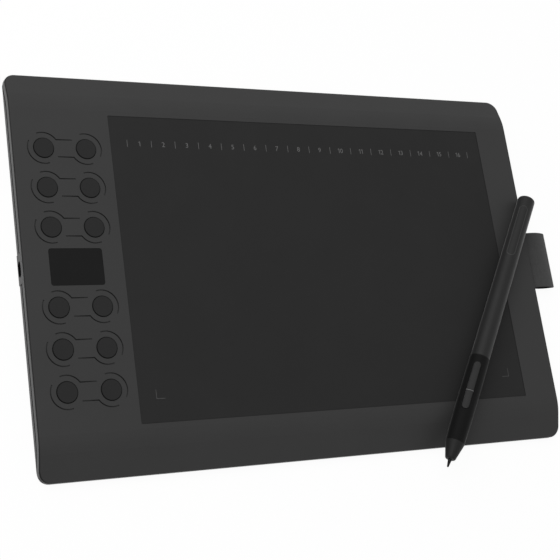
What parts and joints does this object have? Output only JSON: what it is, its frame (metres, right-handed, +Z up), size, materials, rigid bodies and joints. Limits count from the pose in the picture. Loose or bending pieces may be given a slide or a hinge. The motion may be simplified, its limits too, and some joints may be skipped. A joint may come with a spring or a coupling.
{
  "type": "graphics tablet",
  "caption": "Slim graphics tablet with an arched case, flat work sheet, round express keys, side port and woven pen loop, with a pressure pen lying across its corner.",
  "frame": {"origin": "centre of the case on the plane of its flat underside; the rubber feet reach 0.8 mm below it", "axes": "+X along the long side towards the pen loop, +Y away from the user, +Z up out of the work sheet"},
  "size_m": [0.3831, 0.2563, 0.0245],
  "materials": {
    "shell": "fine satin grain",
    "work_sheet": "fine matt grain",
    "key": "satin",
    "badge": "half gloss",
    "circuit_board": "lacquered",
    "chip": "moulded",
    "connector": "moulded",
    "ribbon": "film",
    "foam": "closed-cell foam",
    "shield": "rolled sheet",
    "steel": "plated",
    "rubber": "soft matt",
    "webbing": "tight weave",
    "pen_plastic": "satin",
    "nib": "smooth",
    "copper": "lacquered wire",
    "ferrite": "sintered"
  },
  "bodies": {
    "tablet": {"top_shell": "shell", "bottom_shell": "shell", "work_sheet": "work_sheet", "badge_plate": "badge", "sensor_board": "circuit_board", "foam_pad": "foam", "shield_plate": "shield", "main_board": "circuit_board", "board_chips": "chip", "key_switches": "chip", "usb_socket": "steel", "main_connector": "connector", "sensor_connector": "connector", "ribbon_cable": "ribbon", "pen_loop": "webbing", "loop_clamp": "steel", "loop_screws": "steel", "board_screws": "steel", "case_screws": "steel", "rubber_feet": "rubber"},
    "key_1": {"key_1": "key"},
    "key_2": {"key_2": "key"},
    "key_3": {"key_3": "key"},
    "key_4": {"key_4": "key"},
    "key_5": {"key_5": "key"},
    "key_6": {"key_6": "key"},
    "key_7": {"key_7": "key"},
    "key_8": {"key_8": "key"},
    "key_9": {"key_9": "key"},
    "key_10": {"key_10": "key"},
    "key_11": {"key_11": "key"},
    "key_12": {"key_12": "key"},
    "pen": {"pen_barrel": "pen_plastic", "pen_grip": "rubber", "pen_nose_cone": "pen_plastic", "ferrite_core": "ferrite", "pen_coil": "copper", "pressure_sensor": "chip", "pen_carrier": "nib", "pen_board": "circuit_board", "pen_switches": "chip"},
    "nib": {"pen_nib": "nib", "nib_holder": "nib"},
    "pen_button_lower": {"pen_button_lower": "pen_plastic"},
    "pen_button_upper": {"pen_button_upper": "pen_plastic"}
  },
  "joints": [
    {"name": "key_1_press", "type": "slide", "parent": "tablet", "child": "key_1", "axis": [0, 0, -1], "range_m": [0, 0.0004], "stiffness_N_per_m": 1500},
    {"name": "key_2_press", "type": "slide", "parent": "tablet", "child": "key_2", "axis": [0, 0, -1], "range_m": [0, 0.0004], "stiffness_N_per_m": 1500},
    {"name": "key_3_press", "type": "slide", "parent": "tablet", "child": "key_3", "axis": [0, 0, -1], "range_m": [0, 0.0004], "stiffness_N_per_m": 1500},
    {"name": "key_4_press", "type": "slide", "parent": "tablet", "child": "key_4", "axis": [0, 0, -1], "range_m": [0, 0.0004], "stiffness_N_per_m": 1500},
    {"name": "key_5_press", "type": "slide", "parent": "tablet", "child": "key_5", "axis": [0, 0, -1], "range_m": [0, 0.0004], "stiffness_N_per_m": 1500},
    {"name": "key_6_press", "type": "slide", "parent": "tablet", "child": "key_6", "axis": [0, 0, -1], "range_m": [0, 0.0004], "stiffness_N_per_m": 1500},
    {"name": "key_7_press", "type": "slide", "parent": "tablet", "child": "key_7", "axis": [0, 0, -1], "range_m": [0, 0.0004], "stiffness_N_per_m": 1500},
    {"name": "key_8_press", "type": "slide", "parent": "tablet", "child": "key_8", "axis": [0, 0, -1], "range_m": [0, 0.0004], "stiffness_N_per_m": 1500},
    {"name": "key_9_press", "type": "slide", "parent": "tablet", "child": "key_9", "axis": [0, 0, -1], "range_m": [0, 0.0004], "stiffness_N_per_m": 1500},
    {"name": "key_10_press", "type": "slide", "parent": "tablet", "child": "key_10", "axis": [0, 0, -1], "range_m": [0, 0.0004], "stiffness_N_per_m": 1500},
    {"name": "key_11_press", "type": "slide", "parent": "tablet", "child": "key_11", "axis": [0, 0, -1], "range_m": [0, 0.0004], "stiffness_N_per_m": 1500},
    {"name": "key_12_press", "type": "slide", "parent": "tablet", "child": "key_12", "axis": [0, 0, -1], "range_m": [0, 0.0004], "stiffness_N_per_m": 1500},
    {"name": "pen_lift", "type": "slide", "parent": "tablet", "child": "pen", "axis": [0, 0, 1], "range_m": [0, 0.08]},
    {"name": "nib_press", "type": "slide", "parent": "pen", "child": "nib", "axis": [0.5086, 0.861, 0], "range_m": [0, 0.0005], "stiffness_N_per_m": 2000},
    {"name": "pen_button_lower_press", "type": "slide", "parent": "pen", "child": "pen_button_lower", "axis": [0.4563, -0.2695, -0.848], "range_m": [0, 0.0004], "stiffness_N_per_m": 1500},
    {"name": "pen_button_upper_press", "type": "slide", "parent": "pen", "child": "pen_button_upper", "axis": [0.4563, -0.2695, -0.848], "range_m": [0, 0.0004], "stiffness_N_per_m": 1500}
  ]
}
